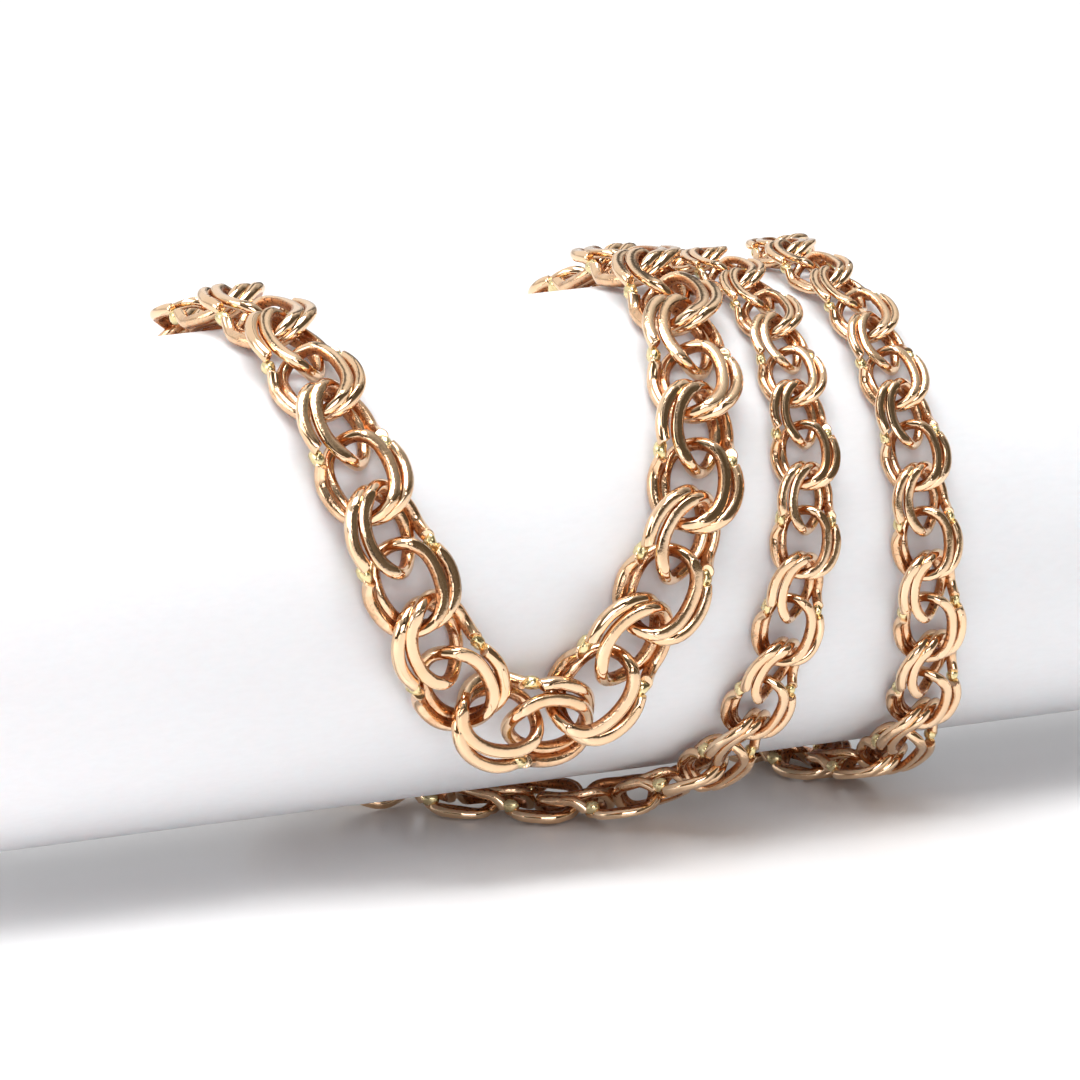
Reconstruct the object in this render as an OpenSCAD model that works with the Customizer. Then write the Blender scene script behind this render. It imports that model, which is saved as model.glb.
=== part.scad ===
// Graduated double-ring chain necklace, laid doubled over a card display roll.
// Millimetres. X runs along the roll, -Y is the front, +Z is up.
// The origin lies on the table, at the middle of the whole display.

/* [Display roll] */
// Outer diameter of the card roll
roll_d = 37; // [36:0.5:38]
// Wall of the card roll
roll_wall = 2; // [1.5:0.1:3]
// Length of the card roll
roll_length = 126; // [110:1:150]

/* [Chain] */
// Pitch of the biggest link, at the front
front_pitch = 9.35; // [9.25:0.05:9.45]
// How much each link is smaller in pitch than the one before it
pitch_step = 0.135; // [0.13:0.001:0.14]
// Links on each side of the biggest one
side_links = 26; // [25:1:26]
// Gap between the chain's back and the roll
roll_gap = 0.2; // [0.15:0.05:0.3]

/* [Clasp] */
// Diameter of the clasp's body
clasp_d = 3; // [2.4:0.1:3.2]
// Width of the sloped edge at the ends of the clasp's body
clasp_edge = 0.4; // [0.3:0.05:0.6]
// Wire of the clasp's eyes
eye_wire = 0.6; // [0.5:0.05:0.7]
// Inner diameter of the clasp's eyes
eye_hole = 2.4; // [2.2:0.1:2.6]

/* [Hidden] */

roll_r = roll_d / 2;
// Height of the roll's axis: the roll lies on the two strands that pass under it.
strand_under = 3.02;
axis_z = roll_r + strand_under;
// How far the route's zero stands from the middle of the roll's length, and the roll's axis
// behind the middle of the display's depth.
route_to_middle = 14;
middle_y = -0.04;

// Shares of a link's pitch: wire, thickness over the layers, and half widths of a ring: the
// outer front wire, the two inner wires and the outer back wire.
wire = 0.095;
thick = 0.33;
outer_x = 0.362;
inner_x = 0.23;
back_x = 0.33;
// Half height of a ring, and how far the rings' centres stand from the link's middle.
ring_y = 0.37;
ring_c = 0.25;
// Depth of the wire's first and last half turn, and of the turns between them.
outer_z = 0.1;
inner_z = 0.115;
// How far the doubled wires part in depth at the ring's far end.
part_z = 0.014;
// Share of the third harmonic that flattens the layers.
flatness = 0.2;
// Points on one coil of one and a half turns, and the corners of the wire's section.
coil_points = 15;
corners = 5;
// Half of the way between the last links' ends that the clasp takes.
clasp_half = 7;

// The route of each strand, from the biggest link at the front to the clasp.
// Each row: place along the roll, angle round it (0 front, 90 top), lift, turn of the face.
route_right = [
    [-24.6, -26.5, 1.1, 24], [-21.3, -23.8, 1, 38], [-18.4, -15.8, 0.5, 26], [-15.4, -5, 0, 0],
    [-12.9, 6.4, 0, 0], [-11.2, 17.5, 0, 0], [-9.9, 28.5, 0, 0], [-7.7, 51.7, 0, 0],
    [-5.9, 75, 0, 0], [-5.2, 94, 0, 0], [-4.5, 112, 0, 0], [-4.6, 131, 0, 0],
    [-6.7, 152, 0, 0], [-9, 176, 0, 0], [-7, 198, 0, 0], [-2.1, 220, 0, 0],
    [4.5, 240, 0.3, 8], [7.8, 258, 0.5, 12], [9.3, 274, 0.1, -4], [10.3, 289, 0.5, -11],
    [10.8, 308, 0.4, -3], [10.3, 328, 0, 0], [9.1, 349, 0, 0], [8.6, 368.7, 0, 0],
    [8.5, 388.4, 0, 0], [8.4, 407, 0, 0], [8.3, 424.5, 0, 0], [7.5, 442, 0, 0],
    [8, 457, 0, 0], [10.1, 471, 0, 0], [12.8, 483, 0.2, 0], [14, 494.5, 0.6, 0],
    [11, 504.6, 1, 0], [6.6, 506.5, 1.2, 0]
];
route_left = [
    [-24.6, -26.5, 1.1, 24], [-28.4, -21.8, 0.5, 12], [-31.6, -12, 0, 0], [-34.2, 2.5, 0, 0],
    [-35.8, 15, 0, 0], [-37, 27, 0, 0], [-37.7, 38.5, 0, 0], [-38.4, 64, 0, 0],
    [-38.2, 88, 0, 0], [-38.2, 108, 0, 0], [-38.2, 130, 0, 0], [-37.5, 155, 0, 0],
    [-35.5, 180, 0, 0], [-33.2, 203, 0, 0], [-30.4, 223, 0.2, 2], [-26.7, 241.5, 0.7, 8],
    [-21.5, 259, 0.5, 10], [-16.8, 272.5, 0.1, -2], [-12.6, 284, 0.7, -14],
    [-8.2, 295, 0.5, -14], [-5.3, 309, 0.3, -4], [-4.1, 330, 0.1, 0], [-2.7, 353, 0, 0],
    [-1.4, 372, 0, 0], [-0.5, 391, 0, 0], [0.3, 409, 0, 0], [0.9, 427, 0, 0],
    [0.8, 446, 0, 0], [0.9, 460, 0, 0], [1.2, 473, 0, 0], [1.4, 484.5, 0.2, 0],
    [1.5, 495, 0.6, 0], [3, 504.4, 1, 0], [6.6, 506.5, 1.2, 0]
];
// Slack of the links along each strand: link number, shift away from the biggest link.
slack_right = [
    [0, -0.65], [1, -1], [2, -1.15], [3, -1.6], [5, -2.1], [8, -1.9], [14, -1.1], [18, -0.5],
    [20, -0.5], [22, -1], [26, -1]
];
slack_left = [
    [0, 0.7], [1, 0.75], [2, 1], [3, 0.9], [5, 0.7], [6, 0.8], [13, 0.8], [17, -3.4],
    [20, -2.9], [26, -2.6]
];

// Samples between two rows of a route, and the pitch that its first pass assumes.
row_samples = 8;
mean_pitch = 7.5;

function unit(v) = v / norm(v);
function mix(a, b, t) = a + (b - a) * t;

// Smooth curve through four rows, between the second and the third.
function blend(a, b, c, d, t) =
    0.5 * (2 * b + (c - a) * t + (2 * a - 5 * b + 4 * c - d) * t * t
    + (3 * b - a - 3 * c + d) * t * t * t);

function row_at(rows, k, t) =
    let (last = len(rows) - 1)
    blend(k > 0 ? rows[k - 1] : 2 * rows[0] - rows[1], rows[k], rows[k + 1],
        k + 2 <= last ? rows[k + 2] : 2 * rows[last] - rows[last - 1], t);

function fine_rows(rows) = [
    for (k = [0 : len(rows) - 2], j = [0 : row_samples - 1]) row_at(rows, k, j / row_samples),
    rows[len(rows) - 1]
];

// A point over the roll, for a row and the height of the chain's middle.
function over_roll(row, h) =
    let (r = roll_r + h + row[2])
    [row[0] + route_to_middle, -r * cos(row[1]) - middle_y, axis_z + r * sin(row[1])];

function middle_height(pitch) = thick * pitch / 2 + roll_gap;

// Lengths along a list of points, from zero.
function lengths(p) = [
    for (k = 0, s = 0; k < len(p);
        s = s + (k < len(p) - 1 ? norm(p[k + 1] - p[k]) : 0), k = k + 1) s
];

function pitch_after(s) = sqrt(max(front_pitch * front_pitch - 2 * pitch_step * s, 1));

// A strand's table: its length at each sample, the point there and the face's angle.
function strand(rows) =
    let (
        fine = fine_rows(rows),
        first = lengths([for (q = fine) over_roll(q, middle_height(mean_pitch))]),
        points = [for (k = [0 : len(fine) - 1])
            over_roll(fine[k], middle_height(pitch_after(first[k])))],
        s = lengths(points)
    )
    [[for (k = [0 : len(s) - 1]) [s[k], k]], points, [for (q = fine) q[1] + q[3]]];

right_strand = strand(route_right);
left_strand = strand(route_left);

function value_at(table, values, s) =
    let (
        u = lookup(s, table),
        k = min(floor(u), len(values) - 2)
    )
    mix(values[k], values[k + 1], u - k);

// Point and face angle at a signed way from the biggest link: right is positive.
function point_at(s) =
    let (t = s < 0 ? left_strand : right_strand)
    value_at(t[0], t[1], abs(s));
function face_at(s) =
    let (t = s < 0 ? left_strand : right_strand)
    value_at(t[0], t[2], abs(s));

function strand_length(t) = t[0][len(t[0]) - 1][0];

// How much the pitches stretch so that the links fill the strand up to the clasp.
full_way = front_pitch * (side_links + 0.5)
    - pitch_step / 2 * (pow(side_links + 0.5, 2) - 0.25);
function stretch(t) = (strand_length(t) - clasp_half) / full_way;
right_stretch = stretch(right_strand);
left_stretch = stretch(left_strand);

function link_pitch(i) =
    (front_pitch - pitch_step * abs(i)) * (i < 0 ? left_stretch : right_stretch);
function link_way(i) =
    let (
        n = abs(i),
        way = (front_pitch * n - pitch_step * n * n / 2) * (i < 0 ? left_stretch : right_stretch)
    )
    (i < 0 ? -1 : 1) * (way + lookup(n, i < 0 ? slack_left : slack_right));

// A link's place: middle, lateral, along, outward, pitch.
function link_place(i) =
    let (
        p = link_pitch(i),
        s = link_way(i),
        a = point_at(s - ring_c * p),
        b = point_at(s + ring_c * p),
        face = (face_at(s - ring_c * p) + face_at(s + ring_c * p)) / 2,
        along = unit(b - a),
        radial = [0, -cos(face), sin(face)],
        outward = unit(radial - (radial * along) * along)
    )
    [(a + b) / 2, cross(along, outward), along, outward, p];

places = [for (i = [-side_links : side_links]) link_place(i)];
function place_of(i) = places[i + side_links];

// Angle by which the next link's ring stands off this link's own line; side is 1 or -1.
function lean(i, side) =
    abs(i + side) > side_links ? 0 :
    let (
        a = place_of(i),
        b = place_of(i + side),
        d = (b[0] - side * ring_c * b[4] * b[2]) - (a[0] + side * ring_c * a[4] * a[2])
    )
    atan2(side * (d * a[1]), side * (d * a[2]));

// One coil of one and a half turns, as shares of the pitch: [lateral, along, outward].
coil_x = inner_x + (outer_x - inner_x) / 4;
coil_shift = [
    [0, coil_x - outer_x], [1, inner_x - coil_x], [2, coil_x - inner_x], [3, back_x - coil_x]
];
function coil_point(t, bend) =
    let (
        q = t - bend * (0.5 + 0.5 * sin(t)),
        layer = (cos(q) - flatness * cos(3 * q)) / (1 - flatness),
        depth = lookup(t / 180, [[0, outer_z], [1, inner_z], [2, inner_z], [3, outer_z]]),
        parting = t < 180 ? -part_z : t > 360 ? part_z : 0
    )
    [-coil_x * cos(t) + lookup(t / 180, coil_shift), ring_y * sin(t) + ring_c,
        depth * layer + parting * pow(sin(t), 2)];

// The closed wire of a link: two coils, turned half round from each other. The straight runs
// between them hold the soldered joints.
function wire_loop(bend_up, bend_down) =
    let (
        step = 540 / (coil_points - 1),
        up = [for (k = [0 : coil_points - 1]) coil_point(k * step, bend_up)],
        down = [for (k = [0 : coil_points - 1]) coil_point(k * step, bend_down)]
    )
    [each up, for (q = down) [-q[0], -q[1], q[2]]];

// Corners of the wire's section at one point of a loop, with a flat towards the front.
function section(before, at, after, outward, r) =
    let (
        t = unit(after - before),
        n = unit(outward - (outward * t) * t),
        m = cross(t, n)
    )
    [for (j = [0 : corners - 1])
        let (a = (j + 0.5) * 360 / corners) at + r * (cos(a) * n + sin(a) * m)];

module closed_wire(p, outward, r) {
    count = len(p);
    polyhedron(
        points = [for (k = [0 : count - 1])
            each section(p[(k + count - 1) % count], p[k], p[(k + 1) % count], outward, r)],
        faces = [for (k = [0 : count - 1], j = [0 : corners - 1])
            let (
                a = k * corners + j,
                b = k * corners + (j + 1) % corners,
                d = ((k + 1) % count) * corners + j,
                c = ((k + 1) % count) * corners + (j + 1) % corners
            )
            each [[a, d, c], [a, c, b]]],
        convexity = 8
    );
}

module link(i) {
    q = place_of(i);
    loop = wire_loop(lean(i, 1), lean(i, -1));
    closed_wire(
        [for (w = loop) q[0] + q[4] * (w[0] * q[1] + w[1] * q[2] + w[2] * q[3])],
        q[3], wire * q[4] / 2
    );
}

module roll() {
    color([0.95, 0.95, 0.96])
    translate([0, -middle_y, axis_z])
    rotate([0, 90, 0])
    difference() {
        cylinder(h = roll_length, r = roll_r, center = true, $fn = 180);
        cylinder(h = roll_length + 2, r = roll_r - roll_wall, center = true, $fn = 180);
    }
}

module chain_left() {
    color([0.84, 0.62, 0.38])
    for (i = [-side_links : -1]) link(i);
}

module chain_right() {
    color([0.84, 0.62, 0.38])
    for (i = [0 : side_links]) link(i);
}

// Each eye hangs on the far end of a last link; the body starts beyond the eye.
eye_r = (eye_hole + eye_wire) / 2;
function end_side(i) = i < 0 ? -1 : 1;
function eye_middle(i) =
    let (q = place_of(i))
    q[0] + end_side(i) * (ring_c + ring_y) * q[4] * q[2];
function body_end(i) =
    eye_middle(i) + end_side(i) * (eye_r + clasp_d / 2) * place_of(i)[2];

// Places a shape drawn along X, with Z outward, on a way between two points.
module on_way(from, to, outward) {
    along = unit(to - from);
    up = unit(outward - (outward * along) * along);
    side = cross(up, along);
    middle = (from + to) / 2;
    multmatrix([
        [along[0], side[0], up[0], middle[0]],
        [along[1], side[1], up[1], middle[1]],
        [along[2], side[2], up[2], middle[2]]
    ])
    children();
}

module eye(i) {
    q = place_of(i);
    c = eye_middle(i);
    on_way(c - q[2], c + q[2], q[3])
    rotate([90, 0, 0])
    rotate_extrude($fn = 72)
    translate([eye_r, 0])
    circle(d = eye_wire, $fn = 32);
}

module clasp() {
    right = body_end(side_links);
    left = body_end(-side_links);
    bar = norm(right - left) + clasp_d - 2 * clasp_edge;
    color([0.84, 0.62, 0.38])
    union() {
        on_way(left, right, place_of(side_links)[3])
        for (turn = [-90, 90])
            rotate([0, turn, 0]) {
                cylinder(h = bar / 2, d = clasp_d, $fn = 64);
                translate([0, 0, bar / 2])
                cylinder(h = clasp_edge, d1 = clasp_d, d2 = clasp_d - 2 * clasp_edge, $fn = 64);
            }
        for (i = [-side_links, side_links]) eye(i);
    }
}

roll();
chain_left();
chain_right();
clasp();
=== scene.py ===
# Graduated double-ring chain necklace on a card display roll: the visual model.
# Lengths in the named sizes are millimetres, and the pieces are built in metres.
import math
import random

import bpy
import numpy as np
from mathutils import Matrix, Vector


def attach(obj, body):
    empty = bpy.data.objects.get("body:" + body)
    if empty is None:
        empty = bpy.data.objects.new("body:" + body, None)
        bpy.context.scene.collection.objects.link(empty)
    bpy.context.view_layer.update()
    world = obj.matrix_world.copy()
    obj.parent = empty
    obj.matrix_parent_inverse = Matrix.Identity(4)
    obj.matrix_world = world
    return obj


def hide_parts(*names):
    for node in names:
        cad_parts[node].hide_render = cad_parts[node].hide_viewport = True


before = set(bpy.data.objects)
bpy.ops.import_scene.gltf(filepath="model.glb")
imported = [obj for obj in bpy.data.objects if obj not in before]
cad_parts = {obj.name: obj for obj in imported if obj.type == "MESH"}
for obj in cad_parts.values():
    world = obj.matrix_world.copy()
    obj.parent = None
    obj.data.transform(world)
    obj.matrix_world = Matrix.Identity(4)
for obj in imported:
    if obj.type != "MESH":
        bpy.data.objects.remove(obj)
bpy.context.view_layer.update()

bl_info = {
    "name": "Double-ring chain necklace",
    "version": (1, 0, 0),
    "blender": (4, 5, 0),
    "location": "3D View > Sidebar > Necklace",
    "description": "Builds a graduated gold chain of soldered double rings on a card display roll",
    "category": "Object",
}

MM = 0.001
# Least height of the wire over the table.
TABLE_GAP = 0.01

# Sizes that the solid model gives.
ROLL_R = 18.5
ROLL_WALL = 2.0
ROLL_LENGTH = 126.0
STRAND_UNDER = 3.02
AXIS_Z = ROLL_R + STRAND_UNDER
ROUTE_TO_MIDDLE = 14.0
MIDDLE_Y = -0.04
FRONT_PITCH = 9.35
PITCH_STEP = 0.135
SIDE_LINKS = 26
ROLL_GAP = 0.2
CLASP_D = 3.0
CLASP_EDGE = 0.4
EYE_WIRE = 0.6
EYE_HOLE = 2.4
THICK = 0.33
OUTER_X = 0.362
INNER_X = 0.23
BACK_X = 0.33
RING_Y = 0.37
RING_C = 0.25
OUTER_Z = 0.1
INNER_Z = 0.115
PART_Z = 0.014
FLATNESS = 0.2
CLASP_HALF = 7.0
ROW_SAMPLES = 8
MEAN_PITCH = 7.5

# Place along the roll, angle round it (0 front, 90 top), lift, turn of the face.
ROUTE_RIGHT = (
    (-24.6, -26.5, 1.1, 24), (-21.3, -23.8, 1, 38), (-18.4, -15.8, 0.5, 26), (-15.4, -5, 0, 0),
    (-12.9, 6.4, 0, 0), (-11.2, 17.5, 0, 0), (-9.9, 28.5, 0, 0), (-7.7, 51.7, 0, 0),
    (-5.9, 75, 0, 0), (-5.2, 94, 0, 0), (-4.5, 112, 0, 0), (-4.6, 131, 0, 0),
    (-6.7, 152, 0, 0), (-9, 176, 0, 0), (-7, 198, 0, 0), (-2.1, 220, 0, 0),
    (4.5, 240, 0.3, 8), (7.8, 258, 0.5, 12), (9.3, 274, 0.1, -4), (10.3, 289, 0.5, -11),
    (10.8, 308, 0.4, -3), (10.3, 328, 0, 0), (9.1, 349, 0, 0), (8.6, 368.7, 0, 0),
    (8.5, 388.4, 0, 0), (8.4, 407, 0, 0), (8.3, 424.5, 0, 0), (7.5, 442, 0, 0),
    (8, 457, 0, 0), (10.1, 471, 0, 0), (12.8, 483, 0.2, 0), (14, 494.5, 0.6, 0),
    (11, 504.6, 1, 0), (6.6, 506.5, 1.2, 0),
)
ROUTE_LEFT = (
    (-24.6, -26.5, 1.1, 24), (-28.4, -21.8, 0.5, 12), (-31.6, -12, 0, 0), (-34.2, 2.5, 0, 0),
    (-35.8, 15, 0, 0), (-37, 27, 0, 0), (-37.7, 38.5, 0, 0), (-38.4, 64, 0, 0),
    (-38.2, 88, 0, 0), (-38.2, 108, 0, 0), (-38.2, 130, 0, 0), (-37.5, 155, 0, 0),
    (-35.5, 180, 0, 0), (-33.2, 203, 0, 0), (-30.4, 223, 0.2, 2), (-26.7, 241.5, 0.7, 8),
    (-21.5, 259, 0.5, 10), (-16.8, 272.5, 0.1, -2), (-12.6, 284, 0.7, -14),
    (-8.2, 295, 0.5, -14), (-5.3, 309, 0.3, -4), (-4.1, 330, 0.1, 0), (-2.7, 353, 0, 0),
    (-1.4, 372, 0, 0), (-0.5, 391, 0, 0), (0.3, 409, 0, 0), (0.9, 427, 0, 0),
    (0.8, 446, 0, 0), (0.9, 460, 0, 0), (1.2, 473, 0, 0), (1.4, 484.5, 0.2, 0),
    (1.5, 495, 0.6, 0), (3, 504.4, 1, 0), (6.6, 506.5, 1.2, 0),
)
# Link number and its shift away from the biggest link.
SLACK_RIGHT = ((0, -0.65), (1, -1), (2, -1.15), (3, -1.6), (5, -2.1), (8, -1.9), (14, -1.1),
               (18, -0.5), (20, -0.5), (22, -1), (26, -1))
SLACK_LEFT = ((0, 0.7), (1, 0.75), (2, 1), (3, 0.9), (5, 0.7), (6, 0.8), (13, 0.8), (17, -3.4),
              (20, -2.9), (26, -2.6))


# The chain's route

def unit(v):
    v = np.asarray(v, float)
    return v / np.linalg.norm(v)


def blend_rows(a, b, c, d, t):
    return 0.5 * (2 * b + (c - a) * t + (2 * a - 5 * b + 4 * c - d) * t * t
                  + (3 * b - a - 3 * c + d) * t ** 3)


def fine_rows(rows):
    rows = np.array(rows, float)
    last = len(rows) - 1
    fine = []
    for k in range(last):
        before = rows[k - 1] if k else 2 * rows[0] - rows[1]
        after = rows[k + 2] if k + 2 <= last else 2 * rows[last] - rows[last - 1]
        for j in range(ROW_SAMPLES):
            fine.append(blend_rows(before, rows[k], rows[k + 1], after, j / ROW_SAMPLES))
    fine.append(rows[last])
    return np.array(fine)


def over_roll(row, height):
    r = ROLL_R + height + row[2]
    a = math.radians(row[1])
    return np.array([row[0] + ROUTE_TO_MIDDLE, -r * math.cos(a) - MIDDLE_Y,
                     AXIS_Z + r * math.sin(a)])


def middle_height(pitch):
    return THICK * pitch / 2 + ROLL_GAP


def way_along(points):
    return np.r_[0, np.cumsum(np.linalg.norm(np.diff(points, axis=0), axis=1))]


class Strand:
    """One strand of the chain: its points, their way from the biggest link and the face."""

    def __init__(self, rows, slack):
        fine = fine_rows(rows)
        first = way_along(np.array([over_roll(q, middle_height(MEAN_PITCH)) for q in fine]))
        pitch = np.sqrt(np.maximum(FRONT_PITCH ** 2 - 2 * PITCH_STEP * first, 1))
        self.points = np.array([over_roll(q, middle_height(p)) for q, p in zip(fine, pitch)])
        self.way = way_along(self.points)
        self.face = fine[:, 1] + fine[:, 3]
        full = (FRONT_PITCH * (SIDE_LINKS + 0.5)
                - PITCH_STEP / 2 * ((SIDE_LINKS + 0.5) ** 2 - 0.25))
        self.stretch = (self.way[-1] - CLASP_HALF) / full
        self.slack = slack

    def at(self, s):
        point = [np.interp(s, self.way, self.points[:, k]) for k in range(3)]
        return np.array(point), np.interp(s, self.way, self.face)


class Link:
    """A link's place: middle, lateral, along and outward directions, and pitch."""

    def __init__(self, number, right, left):
        side = left if number < 0 else right
        n = abs(number)
        self.number = number
        self.pitch = (FRONT_PITCH - PITCH_STEP * n) * side.stretch
        way = (FRONT_PITCH * n - PITCH_STEP * n * n / 2) * side.stretch
        way += np.interp(n, [q[0] for q in side.slack], [q[1] for q in side.slack])
        s = -way if number < 0 else way
        a, face_a = self.find(s - RING_C * self.pitch, right, left)
        b, face_b = self.find(s + RING_C * self.pitch, right, left)
        face = math.radians((face_a + face_b) / 2)
        radial = np.array([0, -math.cos(face), math.sin(face)])
        self.middle = (a + b) / 2
        self.along = unit(b - a)
        self.outward = unit(radial - (radial @ self.along) * self.along)
        self.lateral = np.cross(self.along, self.outward)
        self.bend_up = 0.0
        self.bend_down = 0.0

    @staticmethod
    def find(s, right, left):
        return (left if s < 0 else right).at(abs(s))

    def ring_centre(self, side):
        return self.middle + side * RING_C * self.pitch * self.along

    def bend_to(self, other, side):
        d = other.ring_centre(-side) - self.ring_centre(side)
        return math.atan2(side * (d @ self.lateral), side * (d @ self.along))

    def to_world(self, shares):
        p = np.asarray(shares) * self.pitch
        return (self.middle + p[..., 0:1] * self.lateral + p[..., 1:2] * self.along
                + p[..., 2:3] * self.outward)


def chain_links():
    right = Strand(ROUTE_RIGHT, SLACK_RIGHT)
    left = Strand(ROUTE_LEFT, SLACK_LEFT)
    links = [Link(n, right, left) for n in range(-SIDE_LINKS, SIDE_LINKS + 1)]
    for a, b in zip(links, links[1:]):
        a.bend_up = a.bend_to(b, 1)
        b.bend_down = b.bend_to(a, -1)
    return links


# One link's wire, in shares of its pitch

COIL_X = INNER_X + (OUTER_X - INNER_X) / 4
COIL_SHIFT = (COIL_X - OUTER_X, INNER_X - COIL_X, COIL_X - INNER_X, BACK_X - COIL_X)
FRONT_END = math.radians(-36)
FRONT_END_Z = 0.07
TURN_STEP = math.radians(7.5)
# End of the straight tail, as shares of the pitch: lateral, along, outward.
TAIL_END = (0.315, 0.05, 0.045)
TAIL_POINTS = 10


def coil_line(bend):
    """Middle line of one coil: the free front end, one and a half turns, the straight tail."""
    count = round((3 * math.pi - FRONT_END) / TURN_STEP)
    t = np.linspace(FRONT_END, 3 * math.pi, count + 1)
    q = t - bend * (0.5 + 0.5 * np.sin(t))
    layer = (np.cos(q) - FLATNESS * np.cos(3 * q)) / (1 - FLATNESS)
    half_turn = t / math.pi
    depth = np.interp(half_turn, (0, 1, 2, 3), (OUTER_Z, INNER_Z, INNER_Z, OUTER_Z))
    parting = np.where(t < math.pi, -PART_Z, np.where(t > 2 * math.pi, PART_Z, 0.0))
    z = depth * layer + parting * np.sin(t) ** 2
    dip = np.clip(t / FRONT_END, 0, 1) ** 2.2
    z = np.where(t < 0, OUTER_Z + (FRONT_END_Z - OUTER_Z) * dip, z)
    x = -COIL_X * np.cos(t) + np.interp(half_turn, (0, 1, 2, 3), COIL_SHIFT)
    y = RING_Y * np.sin(t) + RING_C
    line = np.stack([x, y, z], 1)
    u = np.linspace(0, 1, TAIL_POINTS + 1)[1:]
    end = line[-1]
    tail = np.stack([end[0] + (TAIL_END[0] - end[0]) * u ** 2,
                     end[1] + (TAIL_END[1] - end[1]) * u,
                     end[2] + (TAIL_END[2] - end[2]) * u ** 2], 1)
    return np.vstack([line, tail])


# Corners on a wire's round side and on its ground flat.
ARC_SIDES = 15
FLAT_POINTS = 5
# Half of the least angle that a flat takes of the wire, and where its edges become sharp.
LEAST_CUT = math.radians(9)
SHARP_CUT = math.radians(12)
# Cuts between which a face turns from polished to ground.
GROUND_CUTS = (math.radians(10), math.radians(24))
GRIND_TILT = 0.03


def wire_sections(line, radius, ground_z, crown, grind_tilt):
    """Corners round the wire, with a ground flat wherever it stands through ground_z."""
    tangent = np.gradient(line, axis=0)
    tangent /= np.linalg.norm(tangent, axis=1)[:, None]
    front = np.array([grind_tilt[0], grind_tilt[1], 1.0])
    front /= np.linalg.norm(front)
    n = front - (tangent @ front)[:, None] * tangent
    n /= np.linalg.norm(n, axis=1)[:, None]
    m = np.cross(tangent, n)
    height = ground_z - line @ front
    cut = np.arccos(np.clip(height / radius, -0.2, math.cos(LEAST_CUT)))
    rings = []
    for k in range(ARC_SIDES + 1):
        a = cut + (2 * math.pi - 2 * cut) * k / ARC_SIDES
        rings.append(line + radius * (np.cos(a)[:, None] * n + np.sin(a)[:, None] * m))
    left, right = rings[-1], rings[0]
    half = radius * np.sin(cut)
    for k in range(1, FLAT_POINTS + 1):
        u = k / (FLAT_POINTS + 1)
        rise = crown * half * (1 - (2 * u - 1) ** 2)
        rings.append(left * (1 - u) + right * u + rise[:, None] * n)
    return np.stack(rings, 1), cut


class MeshParts:
    """Collects points, faces, their material and marks of one piece."""

    def __init__(self):
        self.points = []
        self.faces = []
        self.slots = []
        self.polish_and_shade = []
        self.ground = []
        self.sharp = set()
        self.count = 0

    def add(self, points, faces, slot=0, polish_and_shade=None, ground=None, sharp=()):
        base = self.count
        self.points.append(np.asarray(points))
        self.count += len(points)
        self.faces.extend([tuple(i + base for i in f) for f in faces])
        self.slots.extend([slot] * len(faces))
        self.polish_and_shade.append(np.full(len(points), 1.0) if polish_and_shade is None else polish_and_shade)
        self.ground.append(np.zeros(len(points)) if ground is None else ground)
        self.sharp.update((min(a, b) + base, max(a, b) + base) for a, b in sharp)

    def build(self, title, materials):
        mesh = bpy.data.meshes.new(title)
        mesh.from_pydata((np.vstack(self.points) * MM).tolist(), [], self.faces)
        mesh.polygons.foreach_set("material_index", self.slots)
        mesh.polygons.foreach_set("use_smooth", [True] * len(self.faces))
        if self.sharp:
            marks = mesh.attributes.new("sharp_edge", "BOOLEAN", "EDGE")
            for e in mesh.edges:
                a, b = e.vertices
                if (min(a, b), max(a, b)) in self.sharp:
                    marks.data[e.index].value = True
        for name, values in (("polish_and_shade", self.polish_and_shade), ("ground", self.ground)):
            attribute = mesh.attributes.new(name, "FLOAT", "POINT")
            attribute.data.foreach_set("value", np.concatenate(values))
        for m in materials:
            mesh.materials.append(m)
        mesh.update()
        piece = bpy.data.objects.new(title, mesh)
        bpy.context.scene.collection.objects.link(piece)
        return piece


def smooth_step(x, low, high):
    u = np.clip((x - low) / (high - low), 0, 1)
    return u * u * (3 - 2 * u)


# A cut end: rows that it pushes back, their least spacing as a share of the pitch, how far it
# looks inward, its worn rim and middle as shares of the wire, and its value in the mask of polish
# and painted shade.
CUT_ROWS = 6
CUT_SPACING = 0.0015
CUT_INWARD = 0.7
RIM_SHARE = 0.84
RIM_LIFT = 0.09
MIDDLE_LIFT = 0.12
CUT_POLISH_AND_SHADE = 0.8


def cut_end(corners, line, row, step, radius, slope):
    """Cuts one end of a wire obliquely, so that its face looks forward and into the link."""
    e = unit(line[row] - line[row + step])
    inward = np.array([-math.copysign(1.0, line[row][0]), 0, 0])
    seen = unit(np.array([0, 0, 1.0]) + CUT_INWARD * inward)
    seen = unit(seen - (seen @ e) * e)
    lift = (corners[row] - line[row]) @ seen
    for k in range(CUT_ROWS):
        over = (corners[row + step * k] - line[row]) @ e + slope * (lift + radius)
        over += CUT_SPACING * k
        corners[row + step * k] -= np.maximum(over, 0)[:, None] * e
    return unit(e + slope * seen)


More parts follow.
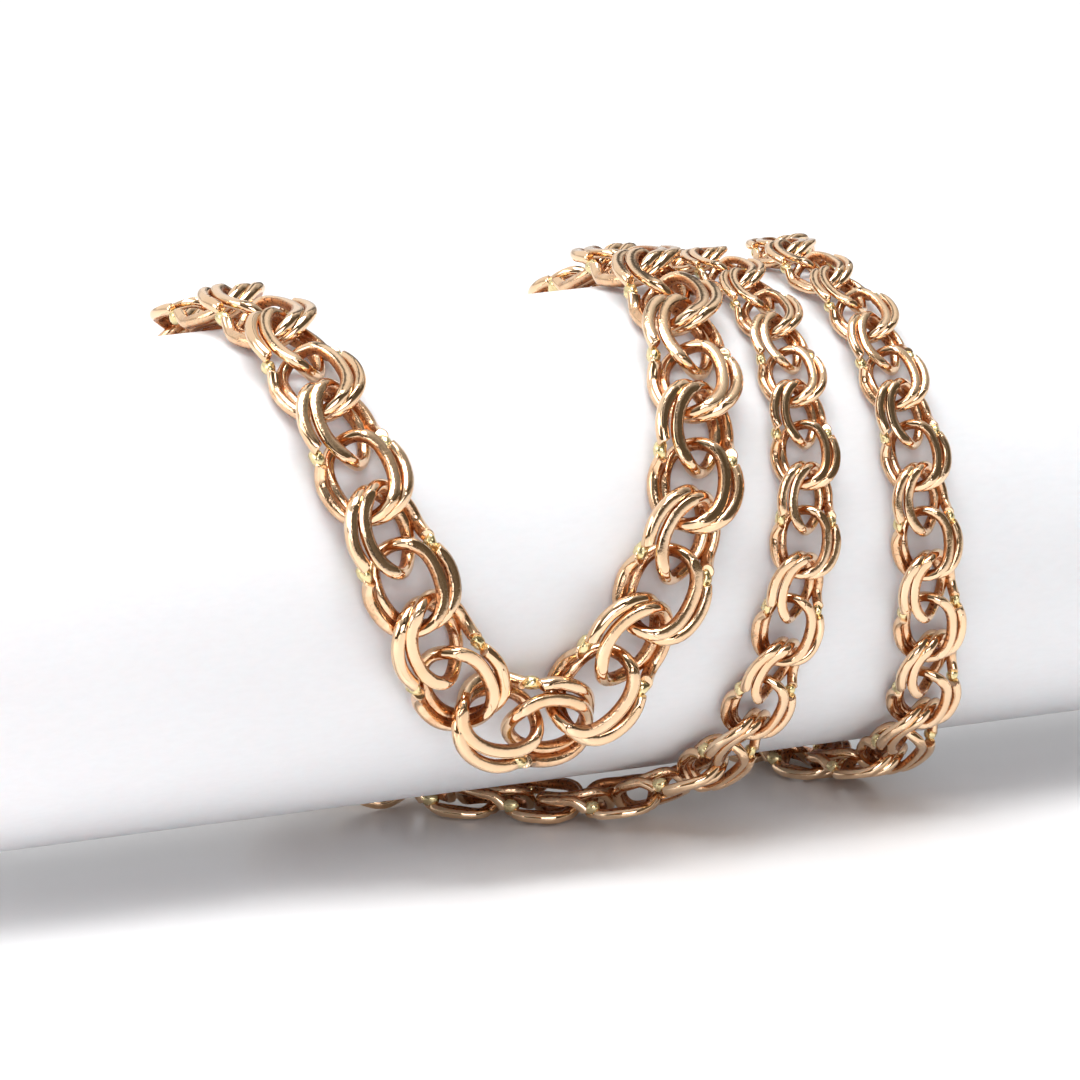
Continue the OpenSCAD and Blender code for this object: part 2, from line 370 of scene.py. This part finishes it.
def add_wire(parts, link, bend, mirror, settings, rng):
    """Adds one coil of a link: a wire with ground fronts and cut ends."""
    line = coil_line(bend)
    radius = settings.wire_share / 2
    tilt = (rng.uniform(-GRIND_TILT, GRIND_TILT), rng.uniform(-GRIND_TILT, GRIND_TILT))
    corners, cut = wire_sections(line, radius, settings.ground_share, settings.crown, tilt)
    rows, sides = corners.shape[:2]
    radial = line - np.array([0, RING_C, 0])
    radial[:, 2] = 0
    radial /= np.linalg.norm(radial, axis=1)[:, None]
    out = (corners - line[:, None, :]) / radius
    outer = (out * radial[:, None, :]).sum(2)
    # Mask of polish and painted shade: faces that look inward or down get the darker, redder dull
    # gold, and the back layer of wires is made duller still. This is partly unpolished metal and
    # partly painted shade where these faces lie in shade under and between the wires.
    polish_and_shade = smooth_step(0.6 * out[..., 2] + 0.7 * outer, -0.6, 0.3)
    layer = smooth_step(line[:, 2], -0.09, 0.02)[:, None]
    polish_and_shade = np.clip(polish_and_shade * (0.65 + 0.35 * layer), 0, 1)
    faces = []
    sharp = []
    for i in range(rows - 1):
        for j in range(sides):
            a = i * sides + j
            b = i * sides + (j + 1) % sides
            faces.append((a, b, b + sides, a + sides))
        if min(cut[i], cut[i + 1]) > SHARP_CUT:
            for j in (0, ARC_SIDES):
                sharp.append((i * sides + j, (i + 1) * sides + j))
    caps = []
    for row, step in ((0, 1), (rows - 1, -1)):
        normal = cut_end(corners, line, row, step, radius, settings.cut_slope)
        middle = corners[row].mean(0)
        rim = middle + (corners[row] - middle) * RIM_SHARE + normal * radius * RIM_LIFT
        base = rows * sides + len(caps) * (sides + 1)
        caps.append(np.vstack([rim, middle + normal * radius * MIDDLE_LIFT]))
        for j in range(sides):
            k = (j + 1) % sides
            a, b = row * sides + j, row * sides + k
            faces.append((a, b, base + k, base + j)[::-step])
            faces.append((base + j, base + k, base + sides)[::-step])
            sharp.append((base + j, base + k))
    points = np.vstack([corners.reshape(-1, 3), *caps])
    flat = np.zeros((rows, sides))
    flat[:, ARC_SIDES + 1:] = smooth_step(cut, *GROUND_CUTS)[:, None]
    marks = np.concatenate([polish_and_shade.ravel(), np.full(2 * (sides + 1), CUT_POLISH_AND_SHADE)])
    ground = np.concatenate([flat.ravel(), np.full(2 * (sides + 1), 1.0)])
    if mirror:
        points = points * np.array([-1, -1, 1])
    placed = link.to_world(points)
    # The metal that lies on the table doesn't sink into it.
    placed[:, 2] = np.maximum(placed[:, 2], TABLE_GAP)
    parts.add(placed, faces, 0, marks, ground, sharp)


# The solder: half sizes as shares of the pitch, rows and columns of its mesh, its swell,
# and the range from which the swell's waves start.
SOLDER_SIZE = (0.058, 0.092, 0.068)
SOLDER_ROWS = 9
SOLDER_COLS = 12
SOLDER_SWELL = 0.13
WAVE_RANGE = 6.28


def add_solder(parts, link, side, rng):
    """Adds the pale fillet of solder at one joint of a link."""
    rows, cols = SOLDER_ROWS, SOLDER_COLS
    centre = np.array([side * rng.uniform(0.322, 0.33), side * rng.uniform(-0.012, 0.0), 0.004])
    size = np.array(SOLDER_SIZE) * rng.uniform(0.95, 1.06)
    points = [centre + [0, 0, size[2]], centre - [0, 0, size[2]]]
    waves = [rng.uniform(0, WAVE_RANGE) for _ in range(3)]
    for i in range(1, rows):
        a = math.pi * i / rows
        for j in range(cols):
            b = 2 * math.pi * j / cols
            swell = 1 + SOLDER_SWELL * math.sin(3 * b + waves[0]) * math.sin(2 * a + waves[1])
            points.append(centre + size * swell * np.array(
                [math.sin(a) * math.cos(b), math.sin(a) * math.sin(b), math.cos(a)]))
    faces = []
    last = 2 + (rows - 2) * cols
    for j in range(cols):
        k = (j + 1) % cols
        faces.append((0, 2 + j, 2 + k))
        faces.append((1, last + k, last + j))
        for i in range(rows - 2):
            a, b = 2 + i * cols + j, 2 + i * cols + k
            faces.append((a, a + cols, b + cols, b))
    parts.add(link.to_world(np.array(points)), faces, 1)


# Materials

def new_material(name):
    material = bpy.data.materials.new(name)
    material.use_nodes = True
    tree = material.node_tree
    shader = tree.nodes["Principled BSDF"]
    return material, tree, shader


def feed(tree, socket, value):
    """Links a socket's value, or sets it on the input itself."""
    if isinstance(value, bpy.types.NodeSocket):
        tree.links.new(value, socket)
    else:
        socket.default_value = value


def add_node(tree, kind, inputs=None, **values):
    node = tree.nodes.new(kind)
    for key, value in values.items():
        setattr(node, key, value)
    for key, value in (inputs or {}).items():
        feed(tree, node.inputs[key], value)
    return node


def ramp(tree, factor, stops):
    node = tree.nodes.new("ShaderNodeValToRGB")
    while len(node.color_ramp.elements) < len(stops):
        node.color_ramp.elements.new(0.5)
    for element, (place, colour) in zip(node.color_ramp.elements, stops):
        element.position = place
        if not hasattr(colour, "__len__"):
            colour = (colour, colour, colour)
        element.color = (*colour, 1.0)
    tree.links.new(factor, node.inputs["Fac"])
    return node.outputs["Color"]


def scaled_sum(tree, value, scale, rest):
    """value * scale + rest"""
    node = add_node(tree, "ShaderNodeMath", {0: value, 1: scale, 2: rest},
                    operation="MULTIPLY_ADD")
    return node.outputs[0]


def value_mix(tree, share, low, high):
    node = add_node(tree, "ShaderNodeMix", data_type="FLOAT")
    for index, value in ((0, share), (2, low), (3, high)):
        feed(tree, node.inputs[index], value)
    return node.outputs[0]


def colour_mix(tree, share, low, high):
    node = add_node(tree, "ShaderNodeMix", data_type="RGBA")
    for index, value in ((0, share), (6, low), (7, high)):
        feed(tree, node.inputs[index], (*value, 1.0) if isinstance(value, tuple) else value)
    return node.outputs[2]


def noise(tree, coordinates, scale, detail=3.0, roughness=0.55):
    node = add_node(tree, "ShaderNodeTexNoise", {
        "Vector": coordinates, "Scale": scale, "Detail": detail, "Roughness": roughness})
    return node.outputs["Fac"]


def stretched(tree, coordinates, scale, turn=(0.0, 0.0, 0.0)):
    node = add_node(tree, "ShaderNodeMapping", {
        "Vector": coordinates, "Scale": scale, "Rotation": turn})
    return node.outputs["Vector"]


def object_place(tree):
    return add_node(tree, "ShaderNodeTexCoord").outputs["Object"]


def add_bump(tree, shader, height, strength, distance):
    bump = add_node(tree, "ShaderNodeBump", {
        "Height": height, "Strength": strength, "Distance": distance})
    tree.links.new(bump.outputs["Normal"], shader.inputs["Normal"])


def gold_material(settings):
    """Rose-yellow gold: polished round wire, brushed flats, and dull reddish gold with pits on
    inward and downward faces and on the back wires; that darker colour is partly unpolished metal
    and partly painted shade.
    """
    material, tree, shader = new_material("gold_wire")
    place = object_place(tree)
    polish_and_shade = add_node(tree, "ShaderNodeAttribute", attribute_name="polish_and_shade").outputs["Fac"]
    flat = add_node(tree, "ShaderNodeAttribute", attribute_name="ground").outputs["Fac"]
    ground = ramp(tree, flat, ((0.3, 0.0), (0.6, 1.0)))
    drift = noise(tree, place, 900.0, 4.0)
    spread = scaled_sum(tree, scaled_sum(tree, drift, 1.0, -0.5), 0.55, polish_and_shade)
    shine_and_shade = ramp(tree, spread, ((0.38, 0.0), (0.74, 1.0)))
    pits = ramp(tree, noise(tree, place, 4200.0, 3.0), ((0.36, 0.0), (0.48, 1.0)))
    tone = noise(tree, place, 420.0, 2.0)
    bright = ramp(tree, tone, ((0.3, tuple(settings.gold)), (0.7, tuple(settings.gold_pale))))
    # Dull gold carrying painted shade where the mask is low, polished gold where it is high.
    dull_and_shade = colour_mix(tree, pits, tuple(settings.gold_pit), tuple(settings.gold_dull_shade))
    tree.links.new(colour_mix(tree, shine_and_shade, dull_and_shade, bright), shader.inputs["Base Color"])
    lines = stretched(tree, place, (9000.0, 700.0, 1500.0), (0.3, 0.5, 0.8))
    scratches = noise(tree, lines, 1.0, 2.0)
    grain = noise(tree, place, settings.grain, 3.0, 0.6)
    rough_round = ramp(tree, scratches, ((0.35, 0.04), (0.75, 0.1)))
    rough_flat = ramp(tree, grain, ((0.35, 0.06), (0.65, 0.16)))
    rough = value_mix(tree, ground, rough_round, rough_flat)
    tree.links.new(value_mix(tree, shine_and_shade, 0.34, rough), shader.inputs["Roughness"])
    shader.inputs["Metallic"].default_value = 1.0
    cast = scaled_sum(tree, pits, 1.0, noise(tree, place, 3000.0, 4.0))
    swell = scaled_sum(tree, noise(tree, place, 270.0, 1.0), 5.0, noise(tree, place, 800.0, 2.0))
    round_height = scaled_sum(tree, swell, 0.4, scaled_sum(tree, scratches, 0.1, 0.0))
    flat_height = scaled_sum(tree, grain, 0.45, scaled_sum(tree, scratches, 0.3, swell))
    worn = value_mix(tree, ground, round_height, flat_height)
    add_bump(tree, shader, value_mix(tree, shine_and_shade, cast, worn), 0.55, 0.00004)
    return material


def solder_material(settings):
    """Paler, greener gold solder with a slightly matt, cast surface."""
    material, tree, shader = new_material("gold_solder")
    place = object_place(tree)
    tone = noise(tree, place, 1500.0, 3.0)
    colour = ramp(tree, tone, ((0.3, tuple(settings.solder)), (0.7, (0.86, 0.72, 0.42))))
    tree.links.new(colour, shader.inputs["Base Color"])
    rough = ramp(tree, noise(tree, place, 2600.0), ((0.3, 0.16), (0.8, 0.36)))
    tree.links.new(rough, shader.inputs["Roughness"])
    shader.inputs["Metallic"].default_value = 1.0
    add_bump(tree, shader, noise(tree, place, 1800.0, 4.0), 0.4, 0.00005)
    return material


def card_material(settings):
    """White satin card: faint fibre clouds, fine tooth and a dry sheen."""
    material, tree, shader = new_material("white_card")
    place = object_place(tree)
    clouds = noise(tree, stretched(tree, place, (60.0, 160.0, 160.0)), 1.0, 4.0)
    fibres = noise(tree, stretched(tree, place, (900.0, 2600.0, 2600.0)), 1.0, 3.0)
    mixed = scaled_sum(tree, clouds, 0.6, fibres)
    deep = tuple(c * 0.965 for c in settings.card)
    colour = ramp(tree, mixed, ((0.45, deep), (1.1, tuple(settings.card))))
    tree.links.new(colour, shader.inputs["Base Color"])
    rough = ramp(tree, fibres, ((0.3, 0.5), (0.7, 0.62)))
    tree.links.new(rough, shader.inputs["Roughness"])
    shader.inputs["Subsurface Weight"].default_value = 0.5
    shader.inputs["Subsurface Radius"].default_value = (1.0, 0.72, 0.68)
    shader.inputs["Subsurface Scale"].default_value = 0.004
    tooth = noise(tree, place, 2300.0, 5.0, 0.6)
    add_bump(tree, shader, scaled_sum(tree, clouds, 0.5, tooth), 0.12, 0.00003)
    return material


def floor_material():
    """Pale, slightly glossy table top."""
    material, tree, shader = new_material("table_top")
    place = object_place(tree)
    tone = ramp(tree, noise(tree, place, 14.0), (
        (0.3, (0.9, 0.9, 0.905)), (0.7, (0.93, 0.93, 0.935))))
    tree.links.new(tone, shader.inputs["Base Color"])
    shader.inputs["Roughness"].default_value = 0.32
    return material


# Settings

class NecklaceSettings(bpy.types.PropertyGroup):
    wire_share: bpy.props.FloatProperty(
        name="Wire", description="Wire thickness as a share of a link's pitch",
        default=0.116, min=0.09, max=0.12)
    ground_share: bpy.props.FloatProperty(
        name="Ground face", description="Height of the ground front over a link's middle",
        default=0.145, min=0.12, max=0.18)
    cut_slope: bpy.props.FloatProperty(
        name="Cut slope", description="How obliquely the wire ends are cut",
        default=0.45, min=0.0, max=1.5)
    crown: bpy.props.FloatProperty(
        name="Crown", description="How much a ground face swells in its middle",
        default=0.21, min=0.0, max=0.35)
    gold: bpy.props.FloatVectorProperty(
        name="Gold", description="Colour of the polished gold", subtype="COLOR",
        size=3, default=(0.87, 0.585, 0.355), min=0.0, max=1.0)
    gold_pale: bpy.props.FloatVectorProperty(
        name="Pale gold", description="Paler drift in the polished gold", subtype="COLOR",
        size=3, default=(0.91, 0.66, 0.44), min=0.0, max=1.0)
    # Colour of unpolished gold, darkened as painted shade for the inward, downward and back faces
    # of the wires.
    gold_dull_shade: bpy.props.FloatVectorProperty(
        name="Dull gold", description="Colour of the gold that isn't polished",
        subtype="COLOR", size=3, default=(0.55, 0.24, 0.1), min=0.0, max=1.0)
    gold_pit: bpy.props.FloatVectorProperty(
        name="Pits", description="Colour of the pits in the gold that isn't polished",
        subtype="COLOR", size=3, default=(0.16, 0.06, 0.03), min=0.0, max=1.0)
    grain: bpy.props.FloatProperty(
        name="Grain", description="How fine the brushed grain of the flats is, per metre",
        default=5200.0, min=500.0)
    solder: bpy.props.FloatVectorProperty(
        name="Solder", description="Colour of the solder at the joints", subtype="COLOR",
        size=3, default=(0.78, 0.66, 0.34), min=0.0, max=1.0)
    card: bpy.props.FloatVectorProperty(
        name="Card", description="Colour of the card roll", subtype="COLOR",
        size=3, default=(0.86, 0.86, 0.88), min=0.0, max=1.0)


class StudioSettings(bpy.types.PropertyGroup):
    view_elevation: bpy.props.FloatProperty(
        name="View elevation", description="Camera's height angle", subtype="ANGLE",
        unit="ROTATION", default=math.radians(14))
    view_azimuth: bpy.props.FloatProperty(
        name="View azimuth", description="Camera's turn to the left of the front",
        subtype="ANGLE", unit="ROTATION", default=math.radians(27.44))
    distance: bpy.props.FloatProperty(
        name="Distance", description="Camera's distance from the roll", subtype="DISTANCE",
        unit="LENGTH", default=1.0146)
    key_power: bpy.props.FloatProperty(
        name="Key light", description="Power of the big light over the roll",
        subtype="POWER", unit="POWER", default=9.5)
    side_power: bpy.props.FloatProperty(
        name="Side light", description="Power of the big light at the left",
        subtype="POWER", unit="POWER", default=3.8)
    front_power: bpy.props.FloatProperty(
        name="Front light", description="Power of the weak light at the front",
        subtype="POWER", unit="POWER", default=3.6)


# Operators

def settings_of(context):
    return context.scene.necklace_settings


# The links nearest the front on each side, and the seed of link 0's small differences.
FRONT_LINKS = 13
LINK_SEED = 1000


class NECKLACE_OT_links(bpy.types.Operator):
    """Builds all links of the chain as swept, ground and soldered wire"""
    bl_idname = "necklace.links"
    bl_label = "Chain links"

    def execute(self, context):
        settings = settings_of(context)
        materials = [gold_material(settings), solder_material(settings)]
        links = chain_links()
        groups = (
            ("links_left_back", -SIDE_LINKS, -FRONT_LINKS - 1, "chain_left"),
            ("links_left_front", -FRONT_LINKS, -1, "chain_left"),
            ("links_right_front", 0, FRONT_LINKS, "chain_right"),
            ("links_right_back", FRONT_LINKS + 1, SIDE_LINKS, "chain_right"),
        )
        for name, first, last, node in groups:
            parts = MeshParts()
            for link in links:
                if first <= link.number <= last:
                    rng = random.Random(LINK_SEED + link.number)
                    add_wire(parts, link, link.bend_up, False, settings, rng)
                    add_wire(parts, link, link.bend_down, True, settings, rng)
                    add_solder(parts, link, 1, rng)
                    add_solder(parts, link, -1, rng)
            piece = parts.build(name, materials)
            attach(piece, "root")
            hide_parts(node)
        return {"FINISHED"}


def revolve(profile, start, direction, outward, sides):
    """Points and faces of a profile of (way, radius) rows turned about an axis."""
    direction = unit(direction)
    n = unit(outward - (outward @ direction) * direction)
    m = np.cross(direction, n)
    points = []
    for way, radius in profile:
        for j in range(sides):
            a = 2 * math.pi * j / sides
            points.append(start + way * direction
                          + radius * (math.cos(a) * n + math.sin(a) * m))
    faces = []
    for i in range(len(profile) - 1):
        for j in range(sides):
            k = (j + 1) % sides
            faces.append((i * sides + j, i * sides + k, (i + 1) * sides + k, (i + 1) * sides + j))
    return np.array(points), faces


# Sides of the turned shapes.
CLASP_SIDES = 48
EYE_SIDES = 64
EYE_AROUND = 20
ROLL_SIDES = 256


def torus(centre, axis_a, axis_b, radius, tube, sides, around):
    """Points and faces of a ring in the plane of two axes."""
    normal = np.cross(axis_a, axis_b)
    points = []
    faces = []
    for i in range(sides):
        a = 2 * math.pi * i / sides
        out = math.cos(a) * axis_a + math.sin(a) * axis_b
        for j in range(around):
            b = 2 * math.pi * j / around
            points.append(centre + out * (radius + tube * math.cos(b))
                          + normal * tube * math.sin(b))
            i2, j2 = (i + 1) % sides, (j + 1) % around
            faces.append((i * around + j, i2 * around + j, i2 * around + j2, i * around + j2))
    return np.array(points), faces


def eye_middle(link, side):
    return link.middle + side * (RING_C + RING_Y) * link.pitch * link.along


# The clasp's bevel, shoulder and grooves. A groove's place is a share of the grooves' reach,
# which is a share of the half length. A groove's steps are its way and its share of the depth.
BEVEL_DROP = 0.04
BEVEL_WAY = 0.12
BEVEL_SHARE = 0.6
GROOVE_REACH = 1.2
SHOULDER = 0.7
GROOVE = 0.12
GROOVE_PLACES = (-0.42, 0.0, 0.42)
GROOVE_STEPS = ((-0.14, 0.0), (-0.08, 0.5), (0.0, 1.0), (0.08, 0.5), (0.14, 0.0))
AXIS_HOLE = 0.001


class NECKLACE_OT_clasp(bpy.types.Operator):
    """Builds the barrel clasp behind the roll with its two eyes"""
    bl_idname = "necklace.clasp"
    bl_label = "Clasp"

    def execute(self, context):
        settings = settings_of(context)
        links = chain_links()
        parts = MeshParts()
        r = CLASP_D / 2
        eye_r = (EYE_HOLE + EYE_WIRE) / 2
        ends = []
        for link, side in ((links[-1], 1), (links[0], -1)):
            centre = eye_middle(link, side)
            points, faces = torus(centre, link.along, link.outward, eye_r, EYE_WIRE / 2,
                                  EYE_SIDES, EYE_AROUND)
            parts.add(points, faces)
            ends.append(centre + side * (eye_r + r) * link.along)
        way = ends[0] - ends[1]
        middle = (ends[0] + ends[1]) / 2
        half = np.linalg.norm(way) / 2 + r
        end = [(half - SHOULDER, r), (half - CLASP_EDGE, r - BEVEL_DROP),
               (half - BEVEL_WAY, r - CLASP_EDGE * BEVEL_SHARE), (half, r - CLASP_EDGE),
               (half, AXIS_HOLE)]
        profile = [(-w, radius) for w, radius in reversed(end)]
        for place in GROOVE_PLACES:
            w = place * half * GROOVE_REACH
            profile += [(w + step, r - GROOVE * depth) for step, depth in GROOVE_STEPS]
        profile += end
        points, faces = revolve(profile, middle, way, links[-1].outward, CLASP_SIDES)
        parts.add(points, faces)
        piece = parts.build("clasp_barrel", [gold_material(settings)])
        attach(piece, "root")
        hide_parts("clasp")
        return {"FINISHED"}


# The roll's rim: its rounding, the card's plies and the fine groove between two of them.
RIM_ROUND = 0.25
RIM_STEPS = 4
PLIES = 6
PLY_HALF = 0.06
PLY_DEPTH = 0.07
# Rows of points along the roll, and how far they stay from its ends.
ROLL_ROWS = 40
ROW_MARGIN = 2


class NECKLACE_OT_roll(bpy.types.Operator):
    """Builds the card roll with rounded rims"""
    bl_idname = "necklace.roll"
    bl_label = "Card roll"

    def execute(self, context):
        settings = settings_of(context)
        half = ROLL_LENGTH / 2
        inner = ROLL_R - ROLL_WALL
        edge = RIM_ROUND
        outside = [(-half + edge, ROLL_R)]
        rows = np.linspace(-half + ROW_MARGIN, half - ROW_MARGIN, ROLL_ROWS)
        outside += [(w, ROLL_R) for w in rows]
        outside += [(half - edge, ROLL_R)]
        rim = []
        for k in range(1, RIM_STEPS + 1):
            a = math.pi / 2 * k / RIM_STEPS
            rim.append((half - edge + edge * math.sin(a), ROLL_R - edge + edge * math.cos(a)))
        lines = []
        for k in range(PLIES):
            r = ROLL_R - edge - (ROLL_WALL - 2 * edge) * (k + 0.5) / PLIES
            lines += [(half, r + PLY_HALF), (half - PLY_DEPTH, r), (half, r - PLY_HALF)]
        inside = [(half, inner + edge), (half - edge, inner)]
        right_half = rim + lines + inside
        left_half = [(-w, r) for w, r in reversed(right_half)]
        profile = outside + right_half + left_half + [outside[0]]
        start = np.array([0, -MIDDLE_Y, AXIS_Z])
        points, faces = revolve(profile, start, np.array([1.0, 0, 0]), np.array([0, 0, 1.0]),
                                ROLL_SIDES)
        parts = MeshParts()
        parts.add(points, faces)
        piece = parts.build("card_roll", [card_material(settings)])
        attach(piece, "root")
        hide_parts("roll")
        return {"FINISHED"}


# Photograph's frame: width in pixels, and the pixels of the roll's reference point.
FRAME_PIXELS = 1080
AXIS_PIXEL = (703.9, 515.9)
FOCAL_PIXELS = 13200.0
SENSOR_MM = 36.0
# Where the lights look and how far the table reaches, in metres, and how often light bounces.
LIGHT_AIM = (0, 0, 0.02)
TABLE_REACH = 6.0
LIGHT_BOUNCES = 8


def area_light(name, place, size, power, colour):
    """Adds a soft rectangular light that looks at the roll."""
    light = bpy.data.lights.new(name, "AREA")
    light.shape = "RECTANGLE"
    light.size, light.size_y = size
    light.energy = power
    light.color = colour
    lamp = bpy.data.objects.new(name, light)
    lamp.location = place
    lamp.rotation_euler = (Vector(LIGHT_AIM) - Vector(place)).to_track_quat("-Z", "Y").to_euler()
    bpy.context.scene.collection.objects.link(lamp)


def studio_world():
    """A bright room above and behind the table, and a dark room in front of it."""
    world = bpy.data.worlds.new("studio")
    world.use_nodes = True
    tree = world.node_tree
    background = tree.nodes["Background"]
    direction = add_node(tree, "ShaderNodeTexCoord").outputs["Generated"]
    lit = add_node(tree, "ShaderNodeVectorMath", {0: direction, 1: (-0.1, 0.6, 0.79)},
                   operation="DOT_PRODUCT").outputs["Value"]
    wave = scaled_sum(tree, noise(tree, direction, 2.2, 2.0), 0.5, 0.25)
    share = scaled_sum(tree, lit, 0.5, wave)
    colour = ramp(tree, share, (
        (0.0, (0.24, 0.225, 0.2)), (0.2, (0.2, 0.18, 0.15)), (0.4, (0.12, 0.1, 0.075)),
        (0.56, (0.09, 0.078, 0.058)), (0.64, (0.32, 0.305, 0.285)),
        (0.76, (0.62, 0.61, 0.6)), (0.86, (1.0, 1.0, 1.0))))
    across = add_node(tree, "ShaderNodeVectorMath", {0: direction, 1: (0.86, -0.3, 0.41)},
                      operation="DOT_PRODUCT").outputs["Value"]
    gap = ramp(tree, across, ((0.3, 1.0), (0.36, 0.12), (0.46, 0.12), (0.54, 1.0)))
    colour = add_node(tree, "ShaderNodeVectorMath", {0: colour, 1: gap},
                      operation="MULTIPLY").outputs["Vector"]
    tree.links.new(colour, background.inputs["Color"])
    background.inputs["Strength"].default_value = 1.0
    bpy.context.scene.world = world


class NECKLACE_OT_stage(bpy.types.Operator):
    """Sets up the table, the soft lights and the camera"""
    bl_idname = "necklace.stage"
    bl_label = "Table, lights and camera"

    def execute(self, context):
        studio = context.scene.studio_settings
        scene = context.scene
        reach = TABLE_REACH
        mesh = bpy.data.meshes.new("table_top")
        mesh.from_pydata([(-reach, -reach, 0), (reach, -reach, 0), (reach, reach, 0),
                          (-reach, reach, 0)], [], [(0, 1, 2, 3)])
        mesh.materials.append(floor_material())
        table = bpy.data.objects.new("table_top", mesh)
        scene.collection.objects.link(table)
        studio_world()
        area_light("key_over", (-0.1, -0.17, 1.06), (0.72, 0.55),
                   studio.key_power, (1.0, 1.0, 1.0))
        area_light("side_left", (-0.95, 0.05, 0.42), (0.7, 0.6),
                   studio.side_power, (1.0, 1.0, 1.0))
        area_light("front_fill", (-0.3, -1.05, 0.45), (0.6, 0.5),
                   studio.front_power, (0.96, 0.95, 1.0))
        e, a = studio.view_elevation, studio.view_azimuth
        forward = Vector((math.cos(e) * math.sin(a), math.cos(e) * math.cos(a), -math.sin(e)))
        right = Vector((math.cos(a), -math.sin(a), 0))
        up = right.cross(forward)
        axis = Vector((ROUTE_TO_MIDDLE * MM, -MIDDLE_Y * MM, AXIS_Z * MM))
        lens = bpy.data.cameras.new("camera")
        lens.sensor_width = SENSOR_MM
        lens.lens = FOCAL_PIXELS / FRAME_PIXELS * SENSOR_MM
        lens.clip_start = 0.05
        lens.clip_end = 50
        camera = bpy.data.objects.new("camera", lens)
        camera.location = axis - forward * studio.distance
        middle = FRAME_PIXELS / 2
        aim = (forward + right * ((middle - AXIS_PIXEL[0]) / FOCAL_PIXELS)
               - up * ((middle - AXIS_PIXEL[1]) / FOCAL_PIXELS))
        camera.rotation_euler = aim.to_track_quat("-Z", "Y").to_euler()
        scene.collection.objects.link(camera)
        scene.camera = camera
        scene.view_settings.view_transform = "Standard"
        scene.cycles.use_denoising = True
        scene.cycles.max_bounces = LIGHT_BOUNCES
        return {"FINISHED"}


class NECKLACE_PT_sidebar(bpy.types.Panel):
    bl_label = "Necklace"
    bl_idname = "NECKLACE_PT_sidebar"
    bl_space_type = "VIEW_3D"
    bl_region_type = "UI"
    bl_category = "Necklace"

    def draw(self, context):
        layout = self.layout
        settings = settings_of(context)
        for name in settings.__annotations__:
            layout.prop(settings, name)
        for name in context.scene.studio_settings.__annotations__:
            layout.prop(context.scene.studio_settings, name)
        for step in STEPS:
            layout.operator(step.bl_idname)


STEPS = (NECKLACE_OT_links, NECKLACE_OT_clasp, NECKLACE_OT_roll, NECKLACE_OT_stage)
CLASSES = (NecklaceSettings, StudioSettings, *STEPS, NECKLACE_PT_sidebar)


def register():
    for cls in CLASSES:
        bpy.utils.register_class(cls)
    bpy.types.Scene.necklace_settings = bpy.props.PointerProperty(type=NecklaceSettings)
    bpy.types.Scene.studio_settings = bpy.props.PointerProperty(type=StudioSettings)


def unregister():
    del bpy.types.Scene.studio_settings
    del bpy.types.Scene.necklace_settings
    for cls in reversed(CLASSES):
        bpy.utils.unregister_class(cls)


def main():
    register()
    bpy.ops.necklace.links()
    bpy.ops.necklace.clasp()
    bpy.ops.necklace.roll()
    bpy.ops.necklace.stage()


if __name__ == "__main__":
    main()
